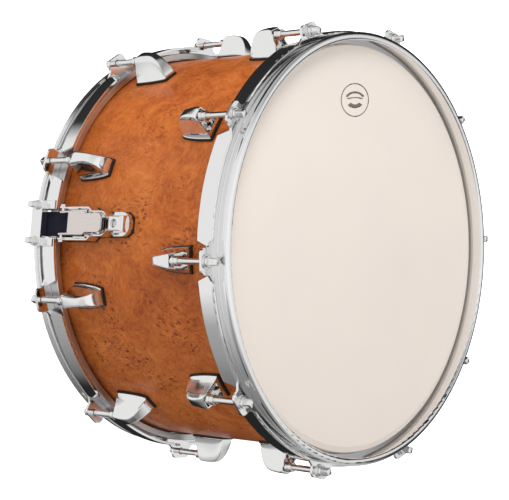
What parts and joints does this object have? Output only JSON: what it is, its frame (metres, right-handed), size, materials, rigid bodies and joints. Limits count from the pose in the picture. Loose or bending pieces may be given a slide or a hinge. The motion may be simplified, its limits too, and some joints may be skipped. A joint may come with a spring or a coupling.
{
  "type": "snare drum",
  "caption": "Wood-shell snare drum with chrome triple-flanged hoops, single-ended lugs, turning tension rods, a lever throw-off and snare wires on straps.",
  "frame": {"origin": "on the drum axis, in the plane of the resonant rim that the drum stands on", "axes": "+Z along the drum axis to the batter head, -Y towards the throw-off, +Y towards the butt plate"},
  "size_m": [0.4042, 0.404, 0.2266],
  "materials": {
    "burl_veneer": "amber burl veneer under satin-gloss lacquer",
    "coated_film": "white coated film, faintly grained",
    "clear_film": "thin clear film",
    "flesh_hoop_aluminium": "bright rolled channel",
    "hoop_chrome": "polished chrome plate",
    "lug_chrome": "polished chrome plate",
    "black_rubber": "soft black rubber",
    "rod_steel": "chrome-plated steel",
    "plain_steel": "plain zinc-plated steel",
    "strainer_chrome": "chrome-plated casting",
    "lever_chrome": "satin chrome paddle",
    "wheel_black_chrome": "dark plated knurl",
    "snare_steel": "drawn steel",
    "navy_webbing": "tightly woven navy webbing"
  },
  "bodies": {
    "drum": {"batter_flesh_hoop": "flesh_hoop_aluminium", "batter_head": "coated_film", "batter_hoop": "hoop_chrome", "batter_lugs": "lug_chrome", "butt_base": "strainer_chrome", "butt_clamp_screws": "rod_steel", "butt_gasket": "black_rubber", "butt_strap_clamp": "strainer_chrome", "front_strap": "navy_webbing", "gate_bolts": "rod_steel", "gate_bridges": "hoop_chrome", "gate_nuts": "rod_steel", "gate_washers": "rod_steel", "lug_gaskets": "black_rubber", "lug_screw_washers": "plain_steel", "lug_screws": "plain_steel", "mount_nuts": "plain_steel", "mount_screws": "rod_steel", "mount_washers": "plain_steel", "rear_strap": "navy_webbing", "resonant_flesh_hoop": "flesh_hoop_aluminium", "resonant_head": "clear_film", "resonant_hoop": "hoop_chrome", "resonant_lugs": "lug_chrome", "shell": "burl_veneer", "snare_end_plates": "snare_steel", "snare_wires": "snare_steel", "strainer_base": "strainer_chrome", "strainer_gasket": "black_rubber", "strainer_pivot_pins": "rod_steel", "swivel_nuts": "rod_steel", "tension_rod_washers": "rod_steel", "vent_grommet": "strainer_chrome"},
    "throw_off_lever": {"strainer_lever": "lever_chrome"},
    "throw_off_carriage": {"strainer_carriage": "strainer_chrome", "strainer_strap_clamp": "strainer_chrome", "strainer_clamp_screws": "rod_steel"},
    "tension_wheel": {"strainer_thumbwheel": "wheel_black_chrome"},
    "batter_rod_01": {"batter_tension_rod_01": "rod_steel"},
    "batter_rod_02": {"batter_tension_rod_02": "rod_steel"},
    "batter_rod_03": {"batter_tension_rod_03": "rod_steel"},
    "batter_rod_04": {"batter_tension_rod_04": "rod_steel"},
    "batter_rod_05": {"batter_tension_rod_05": "rod_steel"},
    "batter_rod_06": {"batter_tension_rod_06": "rod_steel"},
    "batter_rod_07": {"batter_tension_rod_07": "rod_steel"},
    "batter_rod_08": {"batter_tension_rod_08": "rod_steel"},
    "batter_rod_09": {"batter_tension_rod_09": "rod_steel"},
    "batter_rod_10": {"batter_tension_rod_10": "rod_steel"},
    "resonant_rod_01": {"resonant_tension_rod_01": "rod_steel"},
    "resonant_rod_02": {"resonant_tension_rod_02": "rod_steel"},
    "resonant_rod_03": {"resonant_tension_rod_03": "rod_steel"},
    "resonant_rod_04": {"resonant_tension_rod_04": "rod_steel"},
    "resonant_rod_05": {"resonant_tension_rod_05": "rod_steel"},
    "resonant_rod_06": {"resonant_tension_rod_06": "rod_steel"},
    "resonant_rod_07": {"resonant_tension_rod_07": "rod_steel"},
    "resonant_rod_08": {"resonant_tension_rod_08": "rod_steel"},
    "resonant_rod_09": {"resonant_tension_rod_09": "rod_steel"},
    "resonant_rod_10": {"resonant_tension_rod_10": "rod_steel"}
  },
  "joints": [
    {"name": "throw_off_lever_hinge", "type": "hinge", "parent": "drum", "child": "throw_off_lever", "pos_m": [0, -0.1895, 0.0385], "axis": [1, 0, 0], "range_deg": [0, 110]},
    {"name": "throw_off_carriage_slide", "type": "slide", "parent": "drum", "child": "throw_off_carriage", "axis": [0, 0, 1], "range_m": [-0.0051, 0], "deforming": ["front_strap"]},
    {"name": "tension_wheel_turn", "type": "hinge", "parent": "throw_off_carriage", "child": "tension_wheel", "pos_m": [0, -0.1856, 0.08625], "axis": [0, 0, 1], "continuous": true},
    {"name": "batter_rod_01_turn", "type": "hinge", "parent": "drum", "child": "batter_rod_01", "pos_m": [0.03058, -0.19309, 0.19], "axis": [0, 0, 1], "continuous": true},
    {"name": "batter_rod_02_turn", "type": "hinge", "parent": "drum", "child": "batter_rod_02", "pos_m": [0.13824, -0.13824, 0.19], "axis": [0, 0, 1], "continuous": true},
    {"name": "batter_rod_03_turn", "type": "hinge", "parent": "drum", "child": "batter_rod_03", "pos_m": [0.19309, -0.03058, 0.19], "axis": [0, 0, 1], "continuous": true},
    {"name": "batter_rod_04_turn", "type": "hinge", "parent": "drum", "child": "batter_rod_04", "pos_m": [0.17419, 0.08876, 0.19], "axis": [0, 0, 1], "continuous": true},
    {"name": "batter_rod_05_turn", "type": "hinge", "parent": "drum", "child": "batter_rod_05", "pos_m": [0.08876, 0.17419, 0.19], "axis": [0, 0, 1], "continuous": true},
    {"name": "batter_rod_06_turn", "type": "hinge", "parent": "drum", "child": "batter_rod_06", "pos_m": [-0.03058, 0.19309, 0.19], "axis": [0, 0, 1], "continuous": true},
    {"name": "batter_rod_07_turn", "type": "hinge", "parent": "drum", "child": "batter_rod_07", "pos_m": [-0.13824, 0.13824, 0.19], "axis": [0, 0, 1], "continuous": true},
    {"name": "batter_rod_08_turn", "type": "hinge", "parent": "drum", "child": "batter_rod_08", "pos_m": [-0.19309, 0.03058, 0.19], "axis": [0, 0, 1], "continuous": true},
    {"name": "batter_rod_09_turn", "type": "hinge", "parent": "drum", "child": "batter_rod_09", "pos_m": [-0.17419, -0.08876, 0.19], "axis": [0, 0, 1], "continuous": true},
    {"name": "batter_rod_10_turn", "type": "hinge", "parent": "drum", "child": "batter_rod_10", "pos_m": [-0.08876, -0.17419, 0.19], "axis": [0, 0, 1], "continuous": true},
    {"name": "resonant_rod_01_turn", "type": "hinge", "parent": "drum", "child": "resonant_rod_01", "pos_m": [0.0659, -0.18406, 0.036], "axis": [0, 0, 1], "continuous": true},
    {"name": "resonant_rod_02_turn", "type": "hinge", "parent": "drum", "child": "resonant_rod_02", "pos_m": [0.1615, -0.11017, 0.036], "axis": [0, 0, 1], "continuous": true},
    {"name": "resonant_rod_03_turn", "type": "hinge", "parent": "drum", "child": "resonant_rod_03", "pos_m": [0.19541, 0.0058, 0.036], "axis": [0, 0, 1], "continuous": true},
    {"name": "resonant_rod_04_turn", "type": "hinge", "parent": "drum", "child": "resonant_rod_04", "pos_m": [0.15468, 0.11955, 0.036], "axis": [0, 0, 1], "continuous": true},
    {"name": "resonant_rod_05_turn", "type": "hinge", "parent": "drum", "child": "resonant_rod_05", "pos_m": [0.05487, 0.18764, 0.036], "axis": [0, 0, 1], "continuous": true},
    {"name": "resonant_rod_06_turn", "type": "hinge", "parent": "drum", "child": "resonant_rod_06", "pos_m": [-0.0659, 0.18406, 0.036], "axis": [0, 0, 1], "continuous": true},
    {"name": "resonant_rod_07_turn", "type": "hinge", "parent": "drum", "child": "resonant_rod_07", "pos_m": [-0.1615, 0.11017, 0.036], "axis": [0, 0, 1], "continuous": true},
    {"name": "resonant_rod_08_turn", "type": "hinge", "parent": "drum", "child": "resonant_rod_08", "pos_m": [-0.19541, -0.0058, 0.036], "axis": [0, 0, 1], "continuous": true},
    {"name": "resonant_rod_09_turn", "type": "hinge", "parent": "drum", "child": "resonant_rod_09", "pos_m": [-0.15468, -0.11955, 0.036], "axis": [0, 0, 1], "continuous": true},
    {"name": "resonant_rod_10_turn", "type": "hinge", "parent": "drum", "child": "resonant_rod_10", "pos_m": [-0.05487, -0.18764, 0.036], "axis": [0, 0, 1], "continuous": true}
  ],
  "couplings": [
    {"joint": "throw_off_carriage_slide", "follows": "throw_off_lever_hinge", "m_per_rad": -0.0026044}
  ]
}
